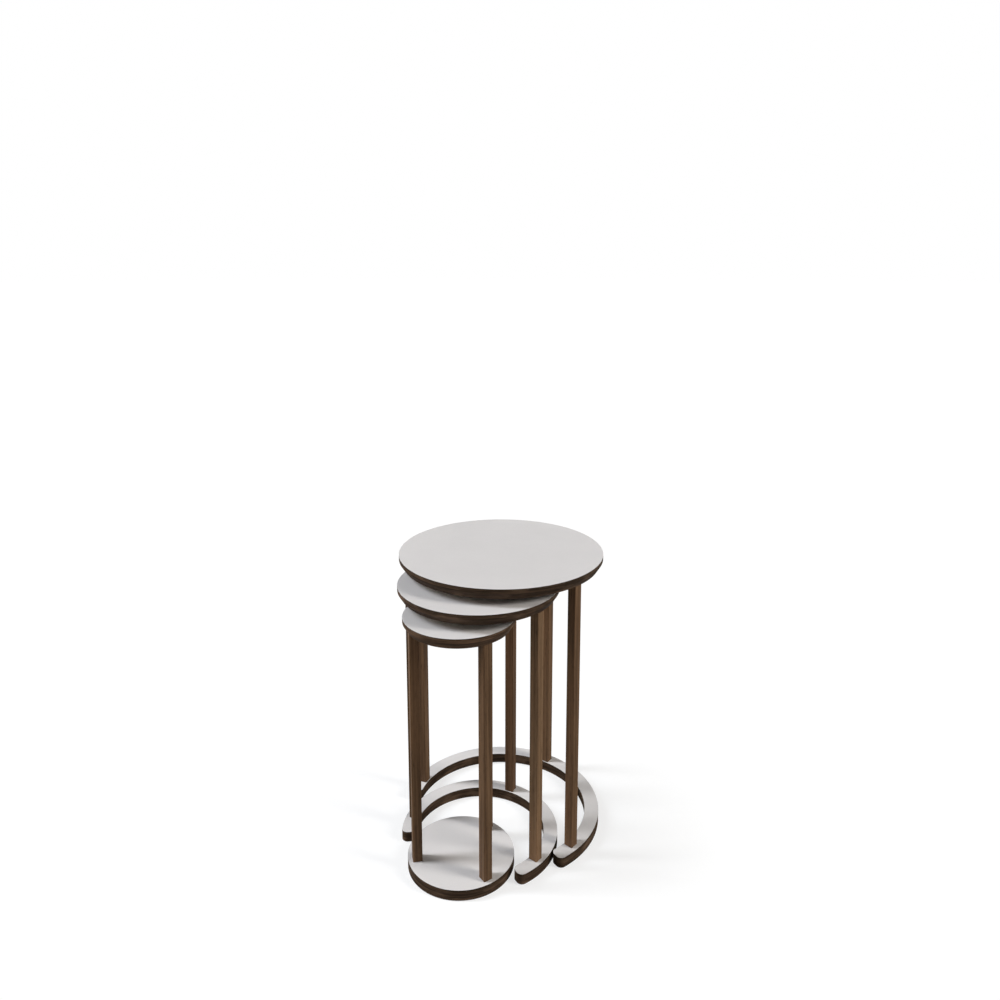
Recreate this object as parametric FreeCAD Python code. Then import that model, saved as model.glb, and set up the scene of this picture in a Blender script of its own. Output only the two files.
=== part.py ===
"""Nest of three round side tables: C-shaped bases let each table slide in under the next one.

Frame: millimetres, +Z up, floor at Z = 0. The large table's opening faces -Y. The origin is the
middle of the floor rectangle that the three tables cover when they stand staggered.
"""
import FreeCAD
import Part
import math
import os

# Boards: a wooden core under a thin laminate
CORE_THICKNESS = 18.0
LAMINATE_THICKNESS = 0.8
BOARD_THICKNESS = CORE_THICKNESS + LAMINATE_THICKNESS
LAMINATE_EASE = 0.25      # chamfer along the laminate's upper edge

# Edge of a top: a short upright wall, then a bevel that runs in under the board
EDGE_WALL = 8.0           # laminate included
BEVEL_INSET = 7.0

# Bases
RING_END_ROUND = 10.0     # corner radius where a C-shaped base ends
PAD_RADIUS = 7.0
PAD_THICKNESS = 1.5

# Legs: square, one face turned to the table's axis
LEG_SIZE = 16.0
LEG_EASE = 1.2            # radius along the four long edges

# Fixings at each end of a leg
BOLT_RADIUS = 2.5         # hanger bolt, half in the leg and half in the insert
BOLT_IN_LEG = 32.0
INSERT_RADIUS = 4.0
INSERT_DEPTH = 12.0
SCREW_RADIUS = 2.25       # countersunk screw from under the base
SCREW_IN_LEG = 42.0
SCREW_HEAD_RADIUS = 4.5
SCREW_HEAD_DEPTH = 3.0
SCREW_HEAD_RECESS = 1.0
PIN_RADIUS = 2.0          # dowel pin that stops the leg from turning
PIN_DEPTH = 9.0           # into the leg, and as far into the board
PIN_OFFSET = 4.6          # from the leg's centre, along both of its sides, towards the axis

# In each table's own frame, in degrees
BACK = 90.0
OPENING = 270.0

# Each table in its own frame, with its axis on Z.
# height is from the floor to the laminate's upper face. leg_spread is the angle from the back
# leg to each front leg. opening_half is half the angle that is cut out of the base, and a
# base with no inner_radius is a full disc. The felt pads sit on pad_circle, at pad_angles.
# The last three place the table where it stands:
# step and heading lead from the bigger table's axis to this one's, and turn is its rotation.
TABLES = {
    "large": dict(height=514.0, top_radius=180.0, base_radius=181.0, inner_radius=155.5,
                  opening_half=67.4, leg_circle=165.2, leg_spread=98.9,
                  pad_circle=168.25, pad_angles=(-17.5, 40.0, 140.0, 197.5),
                  step=0.0, heading=OPENING, turn=0.0),
    "medium": dict(height=483.2, top_radius=137.5, base_radius=138.5, inner_radius=113.9,
                   opening_half=57.05, leg_circle=123.4, leg_spread=101.8,
                   pad_circle=126.2, pad_angles=(-27.0, 40.0, 140.0, 207.0),
                   step=79.1, heading=275.4, turn=6.9),
    "small": dict(height=451.5, top_radius=92.5, base_radius=91.0, inner_radius=None,
                  opening_half=0.0, leg_circle=75.7, leg_spread=110.7,
                  pad_circle=79.5, pad_angles=(35.0, 145.0, 270.0),
                  step=67.9, heading=277.3, turn=248.7),
}
LEG_NAMES = ("back_leg", "left_leg", "right_leg")

UP = FreeCAD.Vector(0, 0, 1)
BASE_TOP = PAD_THICKNESS + BOARD_THICKNESS


def vec(x, y, z=0.0):
    return FreeCAD.Vector(x, y, z)


def polar(radius, degrees, z=0.0):
    angle = math.radians(degrees)
    return vec(radius * math.cos(angle), radius * math.sin(angle), z)


def cylinder(radius, height, at):
    return Part.makeCylinder(radius, height, at, UP)


def leg_angles(table):
    """Back leg, left leg and right leg, as seen by someone facing the opening."""
    return BACK, BACK + table["leg_spread"], BACK - table["leg_spread"]


def at_leg(shape, table, degrees):
    """Move a shape made around a leg's own centre line to the leg at this angle."""
    moved = shape.copy()
    moved.rotate(vec(0, 0), UP, degrees)
    moved.translate(polar(table["leg_circle"], degrees))
    return moved


def at_legs(shape, table):
    return Part.makeCompound([at_leg(shape, table, a) for a in leg_angles(table)])


# Fixings, around the leg's centre line

def leg_top(table):
    return table["height"] - BOARD_THICKNESS


def hanger_bolt(table):
    low = leg_top(table) - BOLT_IN_LEG
    return cylinder(BOLT_RADIUS, BOLT_IN_LEG + INSERT_DEPTH, vec(0, 0, low))


def insert_seat(table):
    return cylinder(INSERT_RADIUS, INSERT_DEPTH, vec(0, 0, leg_top(table)))


def threaded_insert(table):
    return insert_seat(table).cut(hanger_bolt(table))


def base_screw():
    """Head in a recess in the base's underside, shank up through the base into the leg."""
    head_low = PAD_THICKNESS + SCREW_HEAD_RECESS
    head = Part.makeCone(SCREW_HEAD_RADIUS, SCREW_RADIUS, SCREW_HEAD_DEPTH, vec(0, 0, head_low), UP)
    shank = cylinder(SCREW_RADIUS, BASE_TOP + SCREW_IN_LEG - head_low, vec(0, 0, head_low))
    return head.fuse(shank).removeSplitter()


def screw_seat():
    recess = cylinder(SCREW_HEAD_RADIUS, SCREW_HEAD_RECESS, vec(0, 0, PAD_THICKNESS))
    return base_screw().fuse(recess)


def dowel_pin(joint_height):
    low = joint_height - PIN_DEPTH
    return cylinder(PIN_RADIUS, 2 * PIN_DEPTH, vec(-PIN_OFFSET, PIN_OFFSET, low))


def dowel_pins(table):
    heights = (BASE_TOP, leg_top(table))
    return Part.makeCompound([at_legs(dowel_pin(h), table) for h in heights])


# Boards

def eased_laminate(outline, low):
    """The laminate sheet over a face outline, with its upper edge chamfered."""
    sheet = outline.copy()
    sheet.translate(vec(0, 0, low))
    sheet = sheet.extrude(vec(0, 0, LAMINATE_THICKNESS))
    top = low + LAMINATE_THICKNESS
    upper = [e for e in sheet.Edges if abs(e.BoundBox.ZMin - top) < 1e-6]
    return sheet.makeChamfer(LAMINATE_EASE, upper)


def top_core(table):
    radius = table["top_radius"]
    low, high = leg_top(table), table["height"] - LAMINATE_THICKNESS
    wall_low = table["height"] - EDGE_WALL
    section = Part.makePolygon([vec(0, 0, low), vec(radius - BEVEL_INSET, 0, low),
                                vec(radius, 0, wall_low), vec(radius, 0, high),
                                vec(0, 0, high), vec(0, 0, low)])
    board = Part.Face(section).revolve(vec(0, 0), UP, 360)
    board = board.cut(at_legs(insert_seat(table), table))
    return board.cut(at_legs(dowel_pin(low), table))


def top_laminate(table):
    disc = Part.Face(Part.Wire(Part.makeCircle(table["top_radius"])))
    return eased_laminate(disc, table["height"] - LAMINATE_THICKNESS)


def end_corner(centre_radius, edge_radius, end, inward):
    """One rounded corner of a C-shaped base's end: its point on the long edge, its point on the
    end, and the arc between. inward, 1 or -1, is the way to turn from the end into the base."""
    tilt = math.asin(RING_END_ROUND / centre_radius)
    back = end + inward * math.degrees(tilt)
    centre = polar(centre_radius, back)
    on_edge, on_end = polar(edge_radius, back), polar(centre_radius * math.cos(tilt), end)
    outward = (on_edge - centre) + (on_end - centre)
    middle = centre + outward.normalize() * RING_END_ROUND
    return on_edge, on_end, Part.Arc(on_edge, middle, on_end).toShape()


def base_outline(table):
    """Full disc, or a C whose ends are cut along a radius and rounded at both corners."""
    outer, inner = table["base_radius"], table["inner_radius"]
    if inner is None:
        return Part.Face(Part.Wire(Part.makeCircle(outer)))
    edges, outer_ends, inner_ends = [], [], []
    for inward in (1, -1):
        end = OPENING + inward * table["opening_half"]
        far_edge, far_end, far_arc = end_corner(outer - RING_END_ROUND, outer, end, inward)
        near_edge, near_end, near_arc = end_corner(inner + RING_END_ROUND, inner, end, inward)
        edges += [far_arc, near_arc, Part.makeLine(far_end, near_end)]
        outer_ends.append(far_edge)
        inner_ends.append(near_edge)
    for radius, (one, other) in ((outer, outer_ends), (inner, inner_ends)):
        edges.append(Part.Arc(one, polar(radius, BACK), other).toShape())
    return Part.Face(Part.Wire(Part.__sortEdges__(edges)))


def base_core(table):
    outline = base_outline(table)
    outline.translate(vec(0, 0, PAD_THICKNESS))
    board = outline.extrude(vec(0, 0, CORE_THICKNESS))
    board = board.cut(at_legs(screw_seat(), table))
    return board.cut(at_legs(dowel_pin(BASE_TOP), table))


def base_laminate(table):
    sheet = eased_laminate(base_outline(table), BASE_TOP - LAMINATE_THICKNESS)
    sheet = sheet.cut(at_legs(base_screw(), table))
    return sheet.cut(at_legs(dowel_pin(BASE_TOP), table))


def felt_pads(table):
    spots = [polar(table["pad_circle"], a) for a in table["pad_angles"]]
    return Part.makeCompound([cylinder(PAD_RADIUS, PAD_THICKNESS, spot) for spot in spots])


# Legs

def leg(table, degrees):
    half = LEG_SIZE / 2
    length = leg_top(table) - BASE_TOP
    post = Part.makeBox(LEG_SIZE, LEG_SIZE, length, vec(-half, -half, BASE_TOP))
    upright = [e for e in post.Edges if e.BoundBox.ZLength > length / 2]
    post = post.makeFillet(LEG_EASE, upright)
    for fixing in (hanger_bolt(table), base_screw(), dowel_pin(BASE_TOP), dowel_pin(leg_top(table))):
        post = post.cut(fixing)
    return at_leg(post, table, degrees)


# Assembly

def table_pieces(table):
    pieces = {
        "top_core": top_core(table),
        "top_laminate": top_laminate(table),
        "base_core": base_core(table),
        "base_laminate": base_laminate(table),
        "top_inserts": at_legs(threaded_insert(table), table),
        "hanger_bolts": at_legs(hanger_bolt(table), table),
        "base_screws": at_legs(base_screw(), table),
        "dowel_pins": dowel_pins(table),
        "felt_pads": felt_pads(table),
    }
    for name, degrees in zip(LEG_NAMES, leg_angles(table)):
        pieces[name] = leg(table, degrees)
    return pieces


def table_axes():
    """Where each table's axis stands, measured from the origin."""
    x, y, axes = 0.0, 0.0, {}
    for name, table in TABLES.items():
        step = polar(table["step"], table["heading"])
        x, y = x + step.x, y + step.y
        axes[name] = vec(x, y)
    back = TABLES["large"]["base_radius"]
    front = axes["small"].y - TABLES["small"]["top_radius"]
    centre = vec(0, (back + front) / 2)
    return {name: axis - centre for name, axis in axes.items()}


def solids_of(shape):
    solids = shape.Solids
    return solids[0] if len(solids) == 1 else Part.makeCompound(solids)


def main():
    os.makedirs("parts", exist_ok=True)
    axes = table_axes()
    for name, table in TABLES.items():
        place = FreeCAD.Placement(axes[name], FreeCAD.Rotation(UP, table["turn"]))
        for piece, shape in table_pieces(table).items():
            placed = solids_of(shape)
            placed.Placement = place.multiply(placed.Placement)
            if not placed.isValid():
                raise ValueError(f"{name}_{piece} is not a valid solid")
            placed.exportStep(f"parts/{name}_{piece}.step")
            print(f"{name}_{piece}", len(placed.Solids), round(placed.Volume, 1))
        print(name, "axis", [round(v, 2) for v in axes[name]])


main()
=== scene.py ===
"""Nest of three round side tables: the looks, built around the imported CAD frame. Metres, +Z up."""
import math
import random

import bmesh
import bpy
from mathutils import Matrix, Vector
from mathutils.geometry import delaunay_2d_cdt


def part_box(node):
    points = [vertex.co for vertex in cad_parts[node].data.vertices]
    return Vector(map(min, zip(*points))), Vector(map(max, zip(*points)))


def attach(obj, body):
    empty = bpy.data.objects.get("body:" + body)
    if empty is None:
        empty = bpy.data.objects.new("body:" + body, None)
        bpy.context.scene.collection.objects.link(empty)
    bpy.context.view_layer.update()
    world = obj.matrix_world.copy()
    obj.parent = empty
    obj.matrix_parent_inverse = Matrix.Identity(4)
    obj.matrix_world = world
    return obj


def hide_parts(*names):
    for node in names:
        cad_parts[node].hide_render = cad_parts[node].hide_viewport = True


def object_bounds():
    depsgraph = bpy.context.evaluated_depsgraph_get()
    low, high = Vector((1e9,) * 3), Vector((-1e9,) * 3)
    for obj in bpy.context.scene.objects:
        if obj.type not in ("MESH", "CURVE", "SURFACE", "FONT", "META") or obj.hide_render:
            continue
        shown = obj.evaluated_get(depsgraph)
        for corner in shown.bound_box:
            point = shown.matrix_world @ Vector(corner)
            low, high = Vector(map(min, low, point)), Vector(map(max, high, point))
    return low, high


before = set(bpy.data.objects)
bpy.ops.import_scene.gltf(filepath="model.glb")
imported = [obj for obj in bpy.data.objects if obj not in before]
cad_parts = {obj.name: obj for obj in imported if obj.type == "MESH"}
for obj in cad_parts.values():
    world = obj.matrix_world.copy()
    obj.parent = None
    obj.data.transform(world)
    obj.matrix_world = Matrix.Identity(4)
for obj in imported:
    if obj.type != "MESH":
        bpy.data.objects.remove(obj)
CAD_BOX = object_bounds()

TABLES = ("large", "medium", "small")
LEGS = ("back_leg", "left_leg", "right_leg")
MM = 0.001

# Boards and sheets
ARRIS = 0.6 * MM            # radius along the boards' wooden edges
SHEET_ARRIS = 0.25 * MM     # radius along the laminate's upper edge
ARRIS_STEPS = 4
RIM = 1 * MM                # flat border that keeps an edge's rounding out of the wide faces
CHORD = 4 * MM              # longest straight stretch along a curved edge
WIDEST_TURN = math.radians(10)
RING_END_ROUND = 10 * MM    # corner radius at the ends of a C-shaped base
SHARP_EDGE = math.radians(38)
EDGE_SHOWS_CORE = 0.62      # a sheet's rounding shows its dark core below this upward slope
INSIDE = 1                  # delaunay_2d_cdt's output type: the triangles inside the loops
NEARNESS = 0.00001          # for delaunay_2d_cdt, points this near to each other, in mm, are one
MERGE = 0.001 * MM          # CAD vertices this near to each other are one
LEVEL = 0.01 * MM           # CAD vertices this near in height or radius are level

# Fixings
CLEARANCE = 0.1 * MM
ROUND_SEGMENTS = 28
THREAD_STEP = 0.3 * MM      # how finely a thread is cut along its length
WOOD_PITCH = 2.0 * MM
WOOD_RIDGE = 0.75 * MM
MACHINE_PITCH = 0.8 * MM
MACHINE_RIDGE = 0.4 * MM
POINT = 5.0 * MM            # length of a screw's pointed end
POINT_RADIUS = 0.2 * MM
SHANK_SHARE = 0.4           # share of a wood screw's length that has no thread
COLLAR_FROM = 0.80          # a hanger bolt's plain collar, as shares of the way up to the top board
COLLAR_TO = 0.95
CHAMFER = 0.6 * MM
DRIVE_WIDTH = 0.6 * MM      # half the width of a screw's cross recess
DRIVE_REACH = 2.6 * MM
DRIVE_DEPTH = 2.2 * MM
DRIVE_TAPER = 0.6
FLUTES = 14
FLUTE_DEPTH = 0.15 * MM

# Felt
FELT_EDGE = 0.45 * MM
FELT_FRAY = 0.12 * MM
FELT_SEGMENTS = 90

# Each leg's own piece of wood: where its grain is taken from, and its tone against the others. That tone is
# partly the wood's and partly painted light: legs whose faces catch more light are drawn lighter.
# Back, left and right leg.
LEG_GRAIN_AND_LIT_TONE = {
    "large": ((1, (1.0, 1.0, 1.0)), (2, (1.0, 1.0, 1.0)), (3, (1.08, 1.09, 1.12))),
    "medium": ((4, (0.82, 0.78, 0.78)), (5, (1.0, 1.0, 1.0)), (6, (1.38, 1.48, 1.56))),
    "small": ((7, (1.02, 1.04, 1.08)), (8, (1.0, 0.98, 0.98)), (9, (1.08, 1.09, 1.10))),
}

# How light each stained board is drawn: each top, and all the bases. The small top is drawn much lighter,
# partly for its wood and partly as painted light from below.
TOP_TONE_AND_LIGHT = {"large": (1.0, 1.0, 1.0), "medium": (0.98, 0.98, 0.98), "small": (1.62, 1.56, 1.52)}
BASE_WOOD = (1.08, 1.08, 1.08)

# Camera: its place from the middle of the CAD box, and where it looks, in degrees and metres
CAMERA_AZIMUTH = 34.63
CAMERA_ELEVATION = 28.78
CAMERA_DISTANCE = 1.5645
CAMERA_HEADING = 34.03
CAMERA_PITCH = 9.57
CAMERA_LENS = 29.6          # mm, as is the sensor
CAMERA_SENSOR = 36.0
CAMERA_SEES = 100.0         # how far, in metres
CAMERA_SHIFT_Y = -0.095

# Lights: tall soft boxes, each a column of suns, and a warm glow below the key. The bearing is
# counter-clockwise from +X, and the radiance is what a white sheet that faces one sun of the
# column would send back.
KEY = dict(bearing=214.4, elevations=(28, 35, 42, 49, 56), spread=0.26, radiance=0.172,
           tint=(0.985, 1.0, 1.02))
SIDE = dict(bearing=14.0, elevations=(24, 32, 40), spread=0.28, radiance=0.24,
            tint=(1.06, 0.99, 0.90))
LOW = dict(bearing=214.4, elevations=(12, 20), spread=0.26, radiance=0.13, tint=(1.15, 0.97, 0.78))
SKY = 0.06
HORIZON = 3.00              # the sky is brighter and warmer low down, like lit walls
HORIZON_RISE = 0.30         # sine of the elevation at which that glow has faded
HORIZON_TINT = (1.0, 0.87, 0.72)
HORIZON_AHEAD = 0.12        # its strength in front and behind, against left and right

# Floor: the camera sees it white, with faint shadows that fade out from NEAR to FAR
FLOOR_RADIUS = 60.0
FLOOR_SEGMENTS = 96
FLOOR_BOUNCE = 0.38
FLOOR_NEAR = 0.20
FLOOR_FAR = 0.46
FLOOR_COLOUR = (0.335, 0.350, 0.370)
FLOOR_GLOW = (0.68, 1.02)       # near and far


# What the CAD says

def middle_of(node):
    low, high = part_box(node)
    return (low + high) / 2


class Table:
    """One table's axis, the bearing of its back leg, and the shapes of its boards."""

    def __init__(self, name):
        self.name = name
        self.body = f"{name}_table"
        self.axis = middle_of(f"{name}_top_laminate").to_2d()
        back = middle_of(f"{name}_back_leg").to_2d() - self.axis
        self.turn = Matrix.Rotation(math.atan2(back.y, back.x), 2)

    def node(self, part):
        return f"{self.name}_{part}"

    def point(self, flat, height):
        """A point given from the axis, with the back leg along +X, as a point of the frame."""
        spot = self.axis + self.turn @ flat
        return Vector((spot.x, spot.y, height))

    def around(self, part):
        """(radius, bearing from the back leg, height) of each vertex of a CAD node."""
        found = []
        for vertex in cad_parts[self.node(part)].data.vertices:
            flat = self.turn.transposed() @ (vertex.co.to_2d() - self.axis)
            found.append((flat.length, math.atan2(flat.y, flat.x), vertex.co.z))
        return found


def solids_of(node):
    """The box of each separate solid in a CAD node."""
    mesh = bmesh.new()
    mesh.from_mesh(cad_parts[node].data)
    bmesh.ops.remove_doubles(mesh, verts=mesh.verts, dist=MERGE)
    waiting, boxes = set(mesh.verts), []
    while waiting:
        group, edge = [], [waiting.pop()]
        while edge:
            vertex = edge.pop()
            group.append(vertex.co.copy())
            for link in vertex.link_edges:
                other = link.other_vert(vertex)
                if other in waiting:
                    waiting.remove(other)
                    edge.append(other)
        boxes.append([Vector(pick(p[axis] for p in group) for axis in range(3)) for pick in (min, max)])
    mesh.free()
    return sorted(boxes, key=lambda box: (round(box[0].x, 5), round(box[0].y, 5), box[0].z))


# Mesh building

def goes_round(ring, spot):
    """Whether a level loop of vertices goes round a spot, which is given in mm."""
    inside = False
    for here, there in zip(ring, ring[1:] + ring[:1]):
        a, b = here.co / MM, there.co / MM
        if (a.y > spot.y) != (b.y > spot.y) and spot.x < a.x + (b.x - a.x) * (spot.y - a.y) / (b.y - a.y):
            inside = not inside
    return inside


class Form:
    """A mesh that is built from loops of points."""

    def __init__(self):
        self.mesh = bmesh.new()

    def loop(self, points):
        return [self.mesh.verts.new(p) for p in points]

    def skin(self, *loops):
        for low, high in zip(loops, loops[1:]):
            for i in range(len(low)):
                j = (i + 1) % len(low)
                self.mesh.faces.new((low[i], low[j], high[j], high[i]))

    def cap(self, loop, holes=()):
        """Closes a level loop, apart from the holes, which are loops inside it."""
        if not holes:
            self.mesh.faces.new(loop)
            return
        corners, edges, hole_of = [], [], []
        for number, ring in enumerate((loop, *holes)):
            first = len(corners)
            edges += [(first + i, first + (i + 1) % len(ring)) for i in range(len(ring))]
            corners += ring
            hole_of += [number] * len(ring)
        flat = [vertex.co.to_2d() / MM for vertex in corners]
        _, _, faces, sources, _, _ = delaunay_2d_cdt(flat, edges, [], INSIDE, NEARNESS)
        for face in faces:
            picked = [sources[k][0] for k in face]
            middle = sum((flat[k] for k in picked), Vector((0, 0))) / len(picked)
            touched = {hole_of[k] for k in picked}
            if len(touched) > 1 or touched == {0} or not goes_round(holes[touched.pop() - 1], middle):
                self.mesh.faces.new([corners[k] for k in picked])

    def finish(self, table, part, node, slot, *materials):
        """Makes the object. It rides on the table's body and stands for one CAD node."""
        bmesh.ops.recalc_face_normals(self.mesh, faces=self.mesh.faces)
        for face in self.mesh.faces:
            face.smooth = True
        data = bpy.data.meshes.new(table.node(part))
        self.mesh.to_mesh(data)
        self.mesh.free()
        data.set_sharp_from_angle(angle=SHARP_EDGE)
        for material in materials:
            data.materials.append(material)
        piece = bpy.data.objects.new(table.node(part), data)
        bpy.context.scene.collection.objects.link(piece)
        flat_first = piece.modifiers.new("wide_faces_stay_flat", "WEIGHTED_NORMAL")
        flat_first.keep_sharp = True
        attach(piece, table.body)
        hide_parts(table.node(node))
        return piece


def heading(angle):
    return Vector((math.cos(angle), math.sin(angle)))


def arc(centre, radius, first, last):
    """Points along an arc, each with its outward direction. A hollow arc has a minus radius."""
    turn = abs(last - first)
    steps = math.ceil(max(turn / WIDEST_TURN, turn * abs(radius) / CHORD))
    angles = [first + (last - first) * k / steps for k in range(steps + 1)]
    return [(centre + heading(a) * radius, heading(a)) for a in angles]


def disc_outline(radius):
    return arc(Vector((0, 0)), radius, 0, 2 * math.pi)[:-1]


def ring_outline(outer, inner, span):
    """A C that reaches span to both sides of the back, its ends square with round corners."""
    out_at = span - math.asin(RING_END_ROUND / (outer - RING_END_ROUND))
    in_at = span - math.asin(RING_END_ROUND / (inner + RING_END_ROUND))
    square = span + math.pi / 2
    axis = Vector((0, 0))
    half = arc(axis, outer, 0, out_at)[:-1]
    half += arc(heading(out_at) * (outer - RING_END_ROUND), RING_END_ROUND, out_at, square)
    half += arc(heading(in_at) * (inner + RING_END_ROUND), RING_END_ROUND, square, in_at + math.pi)
    half += arc(axis, -inner, in_at + math.pi, math.pi)[1:]
    flip = Matrix.Diagonal((1, -1))
    return half + [(flip @ spot, flip @ out) for spot, out in reversed(half[1:-1])]


def rounded(points, radius):
    """The same line with each inner corner turned into a small arc."""
    points = [Vector(p) for p in points]
    line = [points[0]]
    for before, corner, after in zip(points, points[1:], points[2:]):
        back, ahead = (before - corner).normalized(), (after - corner).normalized()
        half = back.angle(ahead) / 2
        centre = corner + (back + ahead).normalized() * (radius / math.sin(half))
        reach = radius / math.tan(half)
        first, last = corner + back * reach - centre, corner + ahead * reach - centre
        for k in range(ARRIS_STEPS + 1):
            line.append(centre + first.lerp(last, k / ARRIS_STEPS).normalized() * radius)
    line.append(points[-1])
    return line


def slab(table, outline, profile, holes=()):
    """A board or sheet. The profile runs down its edge as (inset, height), and each hole is
    (centre, through, [(radius, height), ...]), from the underside up."""
    form = Form()
    loops = [form.loop([table.point(spot - out * inset, height) for spot, out in outline])
             for inset, height in profile]
    form.skin(*loops)
    mouths, exits = [], []
    for centre, through, stations in holes:
        rings = []
        for radius, height in stations:
            spots = [centre + heading(2 * math.pi * k / ROUND_SEGMENTS) * radius
                     for k in range(ROUND_SEGMENTS)]
            rings.append(form.loop([(spot.x, spot.y, height) for spot in spots]))
        form.skin(*rings)
        mouths.append(rings[0])
        if through:
            exits.append(rings[-1])
        else:
            form.cap(rings[-1])
    form.cap(loops[0], exits)
    form.cap(loops[-1], mouths)
    return form


# Boards and laminates

def top_outline(table):
    return disc_outline(max(radius for radius, _, _ in table.around("top_core")))


def base_outline(table):
    spots = table.around("base_core")
    outer, inner = (pick(radius for radius, _, _ in spots) for pick in (max, min))
    span = max(bearing for _, bearing, _ in spots)
    if span > math.pi - WIDEST_TURN:
        return disc_outline(outer)
    return ring_outline(outer, inner, span)


def top_board(table, board):
    spots = table.around("top_core")
    low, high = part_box(table.node("top_core"))
    radius = max(r for r, _, _ in spots)
    wall_low = min(z for r, _, z in spots if r > radius - LEVEL)
    bevel = radius - max(r for r, _, z in spots if z < low.z + LEVEL)
    profile = rounded([(0, high.z), (0, wall_low), (bevel, low.z), (bevel + RIM, low.z)], ARRIS)
    holes = []
    for node in ("top_inserts", "dowel_pins"):
        for first, last in solids_of(table.node(node)):
            if last.z > low.z + CLEARANCE:
                centre, reach = ((first + last) / 2).to_2d(), (last.x - first.x) / 2
                holes.append((centre, False, [(reach + CLEARANCE, low.z), (reach + CLEARANCE, last.z)]))
    slab(table, top_outline(table), profile, holes).finish(
        table, "top_board", "top_core", "dark_walnut_core", board)


def base_board(table, board):
    """Each screw sits in a countersink, with its head a little below the surface."""
    low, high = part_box(table.node("base_core"))
    profile = rounded([(0, high.z), (0, low.z), (RIM, low.z)], ARRIS)
    holes = []
    for first, last in solids_of(table.node("base_screws")):
        centre, head = ((first + last) / 2).to_2d(), (last.x - first.x) / 2 + CLEARANCE
        shank = head / 2 + CLEARANCE
        holes.append((centre, True, [(head, low.z), (head, first.z), (shank, first.z + head - shank),
                                     (shank, high.z)]))
    slab(table, base_outline(table), profile, holes).finish(
        table, "base_board", "base_core", "dark_walnut_core", board)


def sheet(table, part, outline, laminate, core):
    """The laminate over a board: pale face, dark core along the edge."""
    low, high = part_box(table.node(f"{part}_laminate"))
    profile = rounded([(RIM, high.z), (0, high.z), (0, low.z)], SHEET_ARRIS)
    piece = slab(table, outline, profile).finish(
        table, f"{part}_sheet", f"{part}_laminate", "grey_laminate", laminate, core)
    for face in piece.data.polygons:
        face.material_index = int(face.normal.z < EDGE_SHOWS_CORE)


# Fixings

def fine_stations(stations):
    """Adds stations along each threaded stretch, and turns the pitch into the thread's phase."""
    phase, fine = 0.0, []
    for (low, wide_low, stands_low, pitch), (high, wide_high, stands_high, _) in zip(stations, stations[1:]):
        count = math.ceil((high - low) / THREAD_STEP) if pitch else 1
        for k in range(count):
            share = k / count
            fine.append((low + (high - low) * share, wide_low + (wide_high - wide_low) * share,
                         stands_low + (stands_high - stands_low) * share, phase))
            phase += (high - low) / count / pitch if pitch else 0.0
    return fine + [(*stations[-1][:3], phase)]


def turned(form, centre, foot, stations, starts=1, segments=ROUND_SEGMENTS):
    """A round piece from (height, radius, ridge, pitch) stations. The ridge is a thread, and with
    no pitch and several starts it is a row of upright flutes. Returns its first and last loops."""
    loops = []
    for height, radius, stands, phase in fine_stations(stations):
        ring = []
        for k in range(segments):
            crest = abs((phase - starts * k / segments) % 1.0 - 0.5)
            reach = radius + stands * max(0.0, 1.0 - 2.0 * crest)
            spot = centre + heading(2 * math.pi * k / segments) * reach
            ring.append((spot.x, spot.y, foot + height))
        loops.append(form.loop(ring))
    form.skin(*loops)
    return loops[0], loops[-1]


def sizes_of(box):
    """Centre, foot, radius and length of an upright round solid."""
    low, high = box
    return ((low + high) / 2).to_2d(), low.z, (high.x - low.x) / 2, high.z - low.z


def cross(centre, height, scale):
    """The outline of a cross recess."""
    spots = []
    for quarter in range(4):
        turn = Matrix.Rotation(quarter * math.pi / 2, 2)
        for x, y in ((DRIVE_REACH, -DRIVE_WIDTH), (DRIVE_REACH, DRIVE_WIDTH), (DRIVE_WIDTH, DRIVE_WIDTH)):
            spot = centre + turn @ Vector((x, y)) * scale
            spots.append((spot.x, spot.y, height))
    return spots


def base_screws(table, steel):
    """Countersunk wood screws, head down, with a cross recess in the head."""
    form = Form()
    for box in solids_of(table.node("base_screws")):
        centre, foot, head, length = sizes_of(box)
        root = head / 2 - WOOD_RIDGE
        stations = [(0, head - CHAMFER / 4, 0, 0), (CHAMFER / 4, head, 0, 0), (CHAMFER, head, 0, 0),
                    (CHAMFER + head - root, root, 0, 0), (SHANK_SHARE * length, root, 0, 0),
                    (SHANK_SHARE * length + WOOD_PITCH, root, WOOD_RIDGE, WOOD_PITCH),
                    (length - POINT, root, WOOD_RIDGE, WOOD_PITCH), (length, POINT_RADIUS, 0, 0)]
        face, tip = turned(form, centre, foot, stations)
        mouth = form.loop(cross(centre, foot, 1.0))
        bottom = form.loop(cross(centre, foot + DRIVE_DEPTH, DRIVE_TAPER))
        form.skin(mouth, bottom)
        form.cap(bottom)
        form.cap(face, [mouth])
        form.cap(tip)
    form.finish(table, "countersunk_screws", "base_screws", "zinc_steel", steel)


def hanger_bolts(table, steel):
    """A wood screw below, a machine thread above, and a plain collar between them."""
    form = Form()
    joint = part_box(table.node("top_core"))[0].z
    for box in solids_of(table.node("hanger_bolts")):
        centre, foot, radius, length = sizes_of(box)
        root, core = radius - WOOD_RIDGE, radius - MACHINE_RIDGE
        sunk = joint - foot
        stations = [(0, POINT_RADIUS, 0, WOOD_PITCH), (POINT, root, WOOD_RIDGE, WOOD_PITCH),
                    (COLLAR_FROM * sunk, root, WOOD_RIDGE, 0),
                    (COLLAR_FROM * sunk + WOOD_RIDGE, radius, 0, 0), (COLLAR_TO * sunk, radius, 0, 0),
                    (sunk, core, MACHINE_RIDGE, MACHINE_PITCH),
                    (length - CHAMFER, core, MACHINE_RIDGE, 0), (length, core - CHAMFER / 2, 0, 0)]
        for end in turned(form, centre, foot, stations):
            form.cap(end)
    form.finish(table, "leg_bolts", "hanger_bolts", "zinc_steel", steel)


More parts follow.
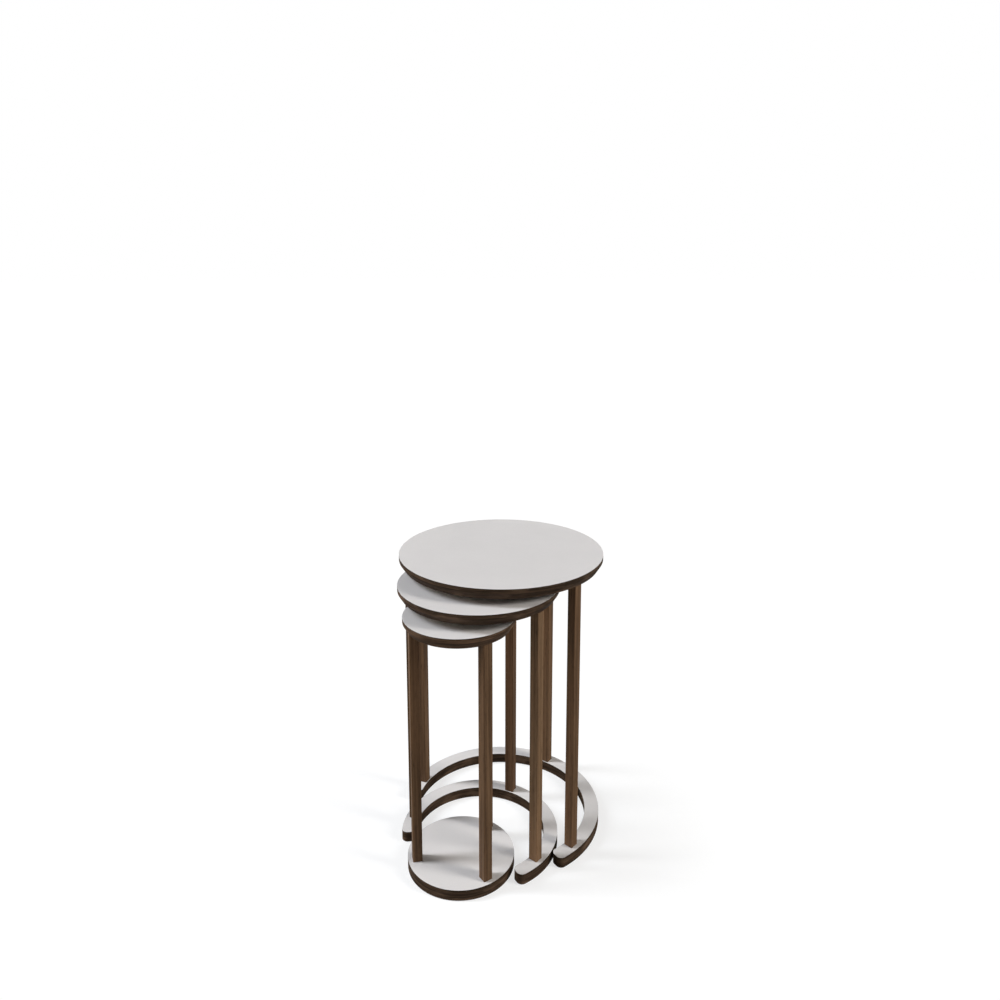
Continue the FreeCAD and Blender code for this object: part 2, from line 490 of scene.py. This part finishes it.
def inserts(table, steel):
    """Threaded sleeves: coarse thread outside, bore for the bolt inside."""
    form = Form()
    bore = sizes_of(solids_of(table.node("hanger_bolts"))[0])[2] + CLEARANCE / 2
    for box in solids_of(table.node("top_inserts")):
        centre, foot, radius, length = sizes_of(box)
        root = radius - WOOD_RIDGE
        stations = [(0, radius - CHAMFER, 0, 0), (CHAMFER, radius, 0, 0), (2 * CHAMFER, radius, 0, 0),
                    (3 * CHAMFER, root, 0, WOOD_PITCH), (4 * CHAMFER, root, WOOD_RIDGE, WOOD_PITCH),
                    (length - CHAMFER, root, WOOD_RIDGE, 0), (length, root - CHAMFER, 0, 0)]
        first, last = turned(form, centre, foot, stations)
        low, high = turned(form, centre, foot, [(0, bore, 0, 0), (length, bore, 0, 0)])
        form.skin(low, first)
        form.skin(last, high)
    form.finish(table, "threaded_inserts", "top_inserts", "zinc_steel", steel)


def fluted_pins(table, beech):
    form = Form()
    for box in solids_of(table.node("dowel_pins")):
        centre, foot, radius, length = sizes_of(box)
        root = radius - FLUTE_DEPTH
        stations = [(0, radius - CHAMFER, 0, 0), (CHAMFER, root, FLUTE_DEPTH, 0),
                    (length - CHAMFER, root, FLUTE_DEPTH, 0), (length, radius - CHAMFER, 0, 0)]
        for end in turned(form, centre, foot, stations, FLUTES, 4 * FLUTES):
            form.cap(end)
    form.finish(table, "fluted_pins", "dowel_pins", "beech", beech)


def felt_pads(table, felt):
    """Punched discs of pressed felt, with a soft, slightly frayed rim."""
    form = Form()
    draw = random.Random(table.name)
    for low, high in solids_of(table.node("felt_pads")):
        centre, reach = ((low + high) / 2).to_2d(), (high.x - low.x) / 2
        profile = rounded([(RIM, high.z), (0, high.z), (0, low.z), (RIM, low.z)], FELT_EDGE)
        loops = []
        for inset, height in profile:
            ring = []
            for k in range(FELT_SEGMENTS):
                out = reach - inset - draw.uniform(0, FELT_FRAY)
                spot = centre + heading(2 * math.pi * k / FELT_SEGMENTS) * out
                ring.append((spot.x, spot.y, height))
            loops.append(form.loop(ring))
        form.skin(*loops)
        form.cap(loops[0])
        form.cap(loops[-1])
    form.finish(table, "felt_discs", "felt_pads", "felt", felt)


# Shaders

class Nodes:
    """A node tree, built with short calls."""

    def __init__(self, owner):
        owner.use_nodes = True
        self.tree = owner.node_tree

    def node(self, kind, sockets=None, **settings):
        made = self.tree.nodes.new("ShaderNode" + kind)
        for name, value in settings.items():
            setattr(made, name, value)
        for name, value in (sockets or {}).items():
            self.feed(made.inputs[name], value)
        return made

    def feed(self, socket, value):
        if isinstance(value, bpy.types.NodeSocket):
            self.tree.links.new(value, socket)
        else:
            socket.default_value = value

    def steps(self, value, low, high, to_low=0.0, to_high=1.0, shape="SMOOTHSTEP"):
        made = self.node("MapRange", {"Value": value, "From Min": low, "From Max": high,
                                      "To Min": to_low, "To Max": to_high}, interpolation_type=shape)
        return made.outputs[0]

    def mix(self, share, a, b, blend="MIX"):
        """Mixes two colours."""
        made = self.node("Mix", data_type="RGBA", blend_type=blend)
        for index, value in ((0, share), (6, a), (7, b)):
            self.feed(made.inputs[index], value)
        return made.outputs[2]

    def between(self, share, a, b):
        """Mixes two numbers."""
        return self.node("Mix", {0: share, 2: a, 3: b}).outputs[0]


class Shader(Nodes):
    """One material's nodes, around its Principled shader."""

    def __init__(self, name):
        self.material = bpy.data.materials.new(name)
        super().__init__(self.material)
        self.out = self.tree.nodes["Principled BSDF"]
        self.place = self.node("TexCoord").outputs["Object"]

    def set(self, **sockets):
        for name, value in sockets.items():
            self.feed(self.out.inputs[name.replace("_", " ")], value)

    def scaled(self, scale, shift=(0.0, 0.0, 0.0)):
        """Object coordinates, in units of 1/scale metre along each axis."""
        return self.node("Mapping", {"Vector": self.place, "Scale": scale, "Location": shift}).outputs[0]

    def noise(self, vector, detail=4.0, rough=0.5, distortion=0.0):
        made = self.node("TexNoise", {"Vector": vector, "Scale": 1.0, "Detail": detail,
                                      "Roughness": rough, "Distortion": distortion})
        return made.outputs["Fac"]

    def bump(self, height, distance, strength=1.0, normal=None):
        sockets = {"Height": height, "Distance": distance, "Strength": strength}
        if normal is not None:
            sockets["Normal"] = normal
        return self.node("Bump", sockets).outputs[0]

    def level(self):
        """1 on a level surface, whichever way up, and 0 on an upright one."""
        normal = self.node("NewGeometry").outputs["Normal"]
        upward = self.node("SeparateXYZ", {0: normal}).outputs["Z"]
        return self.node("Math", {0: upward}, operation="ABSOLUTE").outputs[0]


def cube(scale):
    return (scale, scale, scale)


def colour(red, green, blue):
    return (red, green, blue, 1.0)


def laminate_material():
    """Satin high-pressure laminate: pale neutral grey, faintly clouded and speckled."""
    s = Shader("grey_laminate")
    cloudy = s.noise(s.scaled(cube(8.0)), 3.0, 0.6)
    speckle = s.noise(s.scaled(cube(1100.0)), 2.0, 0.7)
    pale = s.mix(s.steps(cloudy, 0.3, 0.7), colour(0.624, 0.629, 0.652), colour(0.648, 0.653, 0.676))
    s.set(Base_Color=s.mix(s.steps(speckle, 0.40, 0.75), pale, colour(0.606, 0.611, 0.632)))
    rubbed = s.noise(s.scaled(cube(26.0)), 5.0, 0.65, 0.4)
    s.set(Roughness=s.steps(rubbed, 0.3, 0.7, 0.38, 0.48), IOR=1.5)
    pebble = s.noise(s.scaled(cube(1700.0)), 3.0, 0.6)
    s.set(Normal=s.bump(pebble, 0.00004, 0.5))
    return s.material


def laminate_core_material():
    """The dark resin-soaked paper that shows along a laminate's cut edge."""
    s = Shader("laminate_core")
    layers = s.noise(s.scaled((25.0, 25.0, 9000.0)), 3.0, 0.6)
    black, brown = colour(0.010, 0.007, 0.006), colour(0.030, 0.021, 0.016)
    s.set(Base_Color=s.mix(s.steps(layers, 0.3, 0.7), black, brown))
    s.set(Roughness=s.steps(layers, 0.3, 0.7, 0.40, 0.55), IOR=1.5)
    return s.material


def board_material(name, tone_and_light):
    """Dark-stained wood: streaks run round the edges, and straight grain runs beneath."""
    s = Shader(name)
    around = s.noise(s.scaled((13.0, 13.0, 420.0)), 5.0, 0.62, 0.4)
    fine = s.noise(s.scaled((70.0, 70.0, 2400.0)), 4.0, 0.65)
    straight = s.noise(s.scaled((7.0, 190.0, 40.0)), 5.0, 0.6, 0.6)
    pores = s.noise(s.scaled((90.0, 2200.0, 300.0)), 3.0, 0.6)
    beneath = s.steps(s.level(), 0.86, 0.98)
    figure, grit = s.between(beneath, around, straight), s.between(beneath, fine, pores)
    patches = s.noise(s.scaled((16.0, 16.0, 60.0), (5.3, 2.9, 1.1)), 3.0, 0.55)
    base = s.mix(s.steps(figure, 0.36, 0.68), colour(0.021, 0.0142, 0.0098), colour(0.068, 0.0450, 0.0300))
    base = s.mix(s.steps(patches, 0.48, 0.68, 0.0, 0.60), base, colour(0.140, 0.094, 0.066))
    reddish = s.noise(s.scaled((34.0, 34.0, 520.0), (3.1, 1.7, 0.4)), 3.0, 0.5)
    base = s.mix(s.steps(reddish, 0.60, 0.72, 0.0, 0.5), base, colour(0.105, 0.060, 0.044))
    base = s.mix(s.steps(grit, 0.56, 0.72, 0.0, 0.7), base, colour(0.007, 0.005, 0.004))
    # The board's tone multiplies its colour; on the small top it is partly painted light.
    s.set(Base_Color=s.mix(1.0, base, colour(*tone_and_light), "MULTIPLY"))
    s.set(Roughness=s.steps(figure, 0.3, 0.7, 0.50, 0.64), Specular_IOR_Level=0.04)
    s.set(Normal=s.bump(grit, 0.00012, 0.35))
    return s.material


def leg_material(name, seed, tone_and_light):
    """Straight-grained walnut under satin lacquer. Each leg is its own stick: its seed, and a tone that is
    partly the wood's and partly painted light.
    """
    s = Shader(name)
    shift = (seed * 1.37, seed * 2.11, seed * 0.73)
    wander = s.noise(s.scaled((22.0, 22.0, 2.6), shift), 2.0, 0.5)
    bands = s.noise(s.scaled((260.0, 260.0, 3.4), shift), 4.0, 0.55, 0.5)
    fibre = s.noise(s.scaled((900.0, 900.0, 14.0), shift), 4.0, 0.7)
    pores = s.noise(s.scaled((1500.0, 1500.0, 46.0), shift), 2.0, 0.6)
    dark, mid = colour(0.049, 0.0273, 0.0142), colour(0.122, 0.0735, 0.0412)
    warm = colour(0.166, 0.0905, 0.0478)
    base = s.mix(s.steps(bands, 0.32, 0.68), dark, mid)
    base = s.mix(s.steps(wander, 0.45, 0.75, 0.0, 0.7), base, warm)
    base = s.mix(s.steps(fibre, 0.35, 0.75, 0.0, 0.3), base, colour(0.196, 0.1205, 0.0680))
    base = s.mix(s.steps(pores, 0.61, 0.70, 0.0, 0.75), base, colour(0.012, 0.007, 0.004))
    # The leg's tone multiplies its colour: partly the wood's own tone, partly painted light.
    s.set(Base_Color=s.mix(1.0, base, colour(*tone_and_light), "MULTIPLY"))
    s.set(Roughness=s.steps(bands, 0.3, 0.7, 0.42, 0.54), Specular_IOR_Level=0.08)
    grooves = s.bump(pores, 0.00015, 0.4)
    s.set(Normal=s.bump(fibre, 0.00006, 0.4, grooves))
    return s.material


def steel_material():
    """Zinc-plated steel: dull bright metal with a faint yellow and blue cast in patches."""
    s = Shader("zinc_steel")
    cast = s.noise(s.scaled(cube(240.0)), 3.0, 0.6, 0.5)
    grain = s.noise(s.scaled((1900.0, 1900.0, 5200.0)), 4.0, 0.65)
    tint = s.mix(s.steps(cast, 0.35, 0.65), colour(0.60, 0.61, 0.64), colour(0.68, 0.65, 0.57))
    s.set(Base_Color=s.mix(s.steps(grain, 0.55, 0.75, 0.0, 0.5), tint, colour(0.42, 0.42, 0.43)))
    s.set(Metallic=1.0, Roughness=s.steps(grain, 0.3, 0.7, 0.26, 0.46))
    s.set(Normal=s.bump(grain, 0.00002, 0.5))
    return s.material


def beech_material():
    """Beech: pinkish straw, with short dark flecks along the grain."""
    s = Shader("beech")
    grain = s.noise(s.scaled((700.0, 700.0, 30.0)), 4.0, 0.6, 0.3)
    flecks = s.noise(s.scaled((2600.0, 2600.0, 420.0), (1.9, 0.6, 2.4)), 2.0, 0.5)
    base = s.mix(s.steps(grain, 0.3, 0.7), colour(0.50, 0.31, 0.175), colour(0.66, 0.46, 0.285))
    s.set(Base_Color=s.mix(s.steps(flecks, 0.60, 0.68, 0.0, 0.7), base, colour(0.27, 0.135, 0.065)))
    s.set(Roughness=s.steps(grain, 0.3, 0.7, 0.55, 0.70), Normal=s.bump(grain, 0.00005, 0.5))
    return s.material


def felt_material():
    """Pressed wool felt: tangled fibres in three tones, with no gloss."""
    s = Shader("felt")
    tangle = s.noise(s.scaled(cube(2600.0)), 5.0, 0.75, 1.6)
    clumps = s.noise(s.scaled(cube(420.0), (0.7, 2.2, 1.3)), 3.0, 0.6, 0.8)
    base = s.mix(s.steps(tangle, 0.35, 0.65), colour(0.030, 0.024, 0.019), colour(0.095, 0.078, 0.064))
    s.set(Base_Color=s.mix(s.steps(clumps, 0.50, 0.75, 0.0, 0.6), base, colour(0.17, 0.145, 0.12)))
    s.set(Roughness=s.steps(tangle, 0.3, 0.7, 0.88, 0.98), Specular_IOR_Level=0.15)
    s.set(Sheen_Weight=0.5, Sheen_Roughness=0.6, Normal=s.bump(tangle, 0.00025, 0.9))
    return s.material


# The stage

def from_bearing(bearing, elevation, distance=1.0):
    flat = distance * math.cos(math.radians(elevation))
    turn = math.radians(bearing)
    rise = distance * math.sin(math.radians(elevation))
    return Vector((flat * math.cos(turn), flat * math.sin(turn), rise))


def make_light(name, bearing, elevations, spread, radiance, tint):
    """A tall, far, soft light: the same strength all over the floor."""
    data = bpy.data.lights.new(name, "SUN")
    data.angle = spread
    data.energy = radiance * math.pi
    data.color = tint
    for elevation in elevations:
        light = bpy.data.objects.new(f"{name}_{elevation}", data)
        bpy.context.scene.collection.objects.link(light)
        light.rotation_mode = "QUATERNION"
        light.rotation_quaternion = from_bearing(bearing, elevation).to_track_quat("Z", "Y")


def make_sky():
    """White behind the object. It gives only a little light from all round, and a warm glow from
    low down, which is stronger to the left and right of the camera."""
    world = bpy.data.worlds.new("studio")
    bpy.context.scene.world = world
    w = Nodes(world)
    way = w.node("TexCoord").outputs["Generated"]
    sideways = w.node("VectorMath", {0: way, 1: from_bearing(KEY["bearing"], 0.0)}, operation="DOT_PRODUCT")
    squared = w.node("Math", {0: sideways.outputs["Value"], 1: 2.0}, operation="POWER").outputs[0]
    strength = w.steps(squared, 0.0, 1.0, HORIZON_AHEAD, 1.0, "LINEAR")
    above = colour(SKY, SKY, SKY)
    low = w.mix(strength, above, colour(*(HORIZON * tint for tint in HORIZON_TINT)))
    upward = w.node("SeparateXYZ", {0: way}).outputs["Z"]
    glow = w.mix(w.steps(upward, 0.0, HORIZON_RISE, shape="LINEAR"), low, above)
    seen = w.node("LightPath").outputs["Is Camera Ray"]
    w.feed(w.tree.nodes["Background"].inputs["Color"], w.mix(seen, glow, colour(1.0, 1.0, 1.0)))


def make_floor():
    mesh = bpy.data.meshes.new("floor")
    shape = bmesh.new()
    bmesh.ops.create_circle(shape, cap_ends=True, radius=FLOOR_RADIUS, segments=FLOOR_SEGMENTS)
    shape.to_mesh(mesh)
    shape.free()
    floor = bpy.data.objects.new("floor", mesh)
    bpy.context.scene.collection.objects.link(floor)
    floor.location.z = -CLEARANCE / 2
    s = Shader("floor_white")
    away = s.node("VectorMath", {0: s.place}, operation="LENGTH").outputs["Value"]
    far = s.steps(away, FLOOR_NEAR, FLOOR_FAR)
    seen = s.node("LightPath").outputs["Is Camera Ray"]
    shown = s.mix(far, colour(*FLOOR_COLOUR), colour(0, 0, 0))
    bounce = colour(FLOOR_BOUNCE, FLOOR_BOUNCE, FLOOR_BOUNCE)
    s.set(Base_Color=s.mix(seen, bounce, shown), Roughness=0.9, Specular_IOR_Level=0.0)
    glow = s.between(seen, 0.0, s.between(far, *FLOOR_GLOW))
    s.set(Emission_Color=colour(1, 1, 1), Emission_Strength=glow)
    mesh.materials.append(s.material)


def make_camera(middle):
    data = bpy.data.cameras.new("camera")
    data.lens = CAMERA_LENS
    data.sensor_width = CAMERA_SENSOR
    data.shift_y = CAMERA_SHIFT_Y
    data.clip_end = CAMERA_SEES
    camera = bpy.data.objects.new("camera", data)
    bpy.context.scene.collection.objects.link(camera)
    camera.location = middle + from_bearing(CAMERA_AZIMUTH - 90.0, CAMERA_ELEVATION, CAMERA_DISTANCE)
    camera.rotation_euler = (math.radians(90.0 - CAMERA_PITCH), 0.0, math.radians(CAMERA_HEADING))
    bpy.context.scene.camera = camera


# Assembly

def dress(table, shared):
    """Gives one table its detailed boards, sheets and fixings, and its legs their wood."""
    top_board(table, board_material(f"dark_walnut_{table.name}_top", TOP_TONE_AND_LIGHT[table.name]))
    base_board(table, shared["base_board"])
    sheet(table, "top", top_outline(table), shared["laminate"], shared["core"])
    sheet(table, "base", base_outline(table), shared["laminate"], shared["core"])
    base_screws(table, shared["steel"])
    hanger_bolts(table, shared["steel"])
    inserts(table, shared["steel"])
    fluted_pins(table, shared["beech"])
    felt_pads(table, shared["felt"])
    # Each leg's tone is partly painted light.
    for leg, (seed, tone_and_light) in zip(LEGS, LEG_GRAIN_AND_LIT_TONE[table.name]):
        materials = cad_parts[table.node(leg)].data.materials
        materials.clear()
        materials.append(leg_material(f"walnut_{table.node(leg)}", seed, tone_and_light))


def main():
    shared = dict(base_board=board_material("dark_walnut_bases", BASE_WOOD), laminate=laminate_material(),
                  core=laminate_core_material(), steel=steel_material(), beech=beech_material(),
                  felt=felt_material())
    for name in TABLES:
        dress(Table(name), shared)
    make_sky()
    make_floor()
    make_light("key_light", **KEY)
    make_light("side_light", **SIDE)
    make_light("low_light", **LOW)
    lowest, highest = CAD_BOX
    make_camera((lowest + highest) / 2)
    bpy.context.scene.view_settings.view_transform = "Standard"


main()
